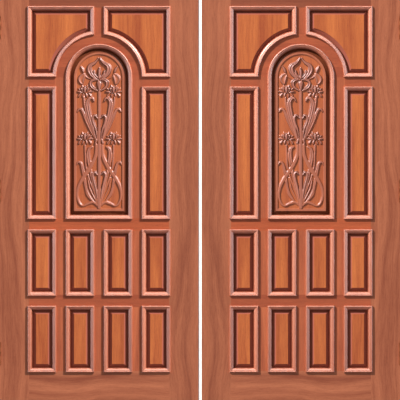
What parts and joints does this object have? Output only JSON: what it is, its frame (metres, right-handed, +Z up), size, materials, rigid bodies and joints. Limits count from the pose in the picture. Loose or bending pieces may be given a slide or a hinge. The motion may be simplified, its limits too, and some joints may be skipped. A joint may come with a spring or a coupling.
{
  "type": "double exterior door",
  "caption": "Pair of panelled hardwood entrance doors with carved arched panels, hung on butt hinges in a rabbeted frame with sill, seals and a closing strip.",
  "frame": {"origin": "On the floor under the sill, midway between the jambs, in the plane of the frame's front edge.", "axes": "+Z up, +X to the right seen from outside, +Y into the building; the carved face looks along -Y."},
  "size_m": [1.887, 0.146, 2.088],
  "materials": {
    "frame_wood": "oiled red-brown hardwood with a satin sheen",
    "stile_wood": "oiled red-brown hardwood, straight upright grain, satin sheen",
    "rail_wood": "oiled red-brown hardwood, level grain, satin sheen",
    "panel_wood": "oiled orange-brown hardwood, upright figured grain, satin sheen",
    "moulding_wood": "oiled red-brown hardwood, polished along the rounds",
    "dowel_wood": "plain pale hardwood",
    "hinge_metal": "aged dark brass, satin",
    "threshold_metal": "mill-finished extrusion",
    "dark_seal": "matte dark rubber",
    "white_strip": "plain matte white"
  },
  "bodies": {
    "frame": {"left_jamb": "frame_wood", "right_jamb": "frame_wood", "head_jamb": "frame_wood", "sill": "frame_wood", "threshold": "threshold_metal", "left_seal": "dark_seal", "right_seal": "dark_seal", "head_seal": "dark_seal", "threshold_seal": "dark_seal", "jamb_hinge_plates": "hinge_metal", "hinge_pins": "hinge_metal", "jamb_hinge_screws": "hinge_metal"},
    "left_leaf": {"left_hinge_stile": "stile_wood", "left_meeting_stile": "stile_wood", "left_top_rail": "rail_wood", "left_mid_rail": "rail_wood", "left_cross_rail": "rail_wood", "left_bottom_rail": "rail_wood", "left_arch_rail": "rail_wood", "left_short_rails": "rail_wood", "left_top_mullion": "stile_wood", "left_upper_mullions": "stile_wood", "left_lower_mullions": "stile_wood", "left_corner_panels": "panel_wood", "left_side_panels": "panel_wood", "left_carved_panel": "panel_wood", "left_lower_panels": "panel_wood", "left_corner_mouldings": "moulding_wood", "left_side_mouldings": "moulding_wood", "left_arch_mouldings": "moulding_wood", "left_lower_mouldings": "moulding_wood", "left_dowels": "dowel_wood", "left_hinge_plates": "hinge_metal", "left_hinge_screws": "hinge_metal", "left_sweep": "dark_seal"},
    "right_leaf": {"right_hinge_stile": "stile_wood", "right_meeting_stile": "stile_wood", "right_top_rail": "rail_wood", "right_mid_rail": "rail_wood", "right_cross_rail": "rail_wood", "right_bottom_rail": "rail_wood", "right_arch_rail": "rail_wood", "right_short_rails": "rail_wood", "right_top_mullion": "stile_wood", "right_upper_mullions": "stile_wood", "right_lower_mullions": "stile_wood", "right_corner_panels": "panel_wood", "right_side_panels": "panel_wood", "right_carved_panel": "panel_wood", "right_lower_panels": "panel_wood", "right_corner_mouldings": "moulding_wood", "right_side_mouldings": "moulding_wood", "right_arch_mouldings": "moulding_wood", "right_lower_mouldings": "moulding_wood", "right_dowels": "dowel_wood", "right_hinge_plates": "hinge_metal", "right_hinge_screws": "hinge_metal", "right_sweep": "dark_seal", "astragal": "white_strip", "astragal_seal": "white_strip"}
  },
  "joints": [
    {"name": "left_leaf_swing", "type": "hinge", "parent": "frame", "child": "left_leaf", "pos_m": [-0.923, -0.009, 1.05], "axis": [0, 0, -1], "range_deg": [0, 110]},
    {"name": "right_leaf_swing", "type": "hinge", "parent": "frame", "child": "right_leaf", "pos_m": [0.923, -0.009, 1.05], "axis": [0, 0, 1], "range_deg": [0, 110]}
  ]
}
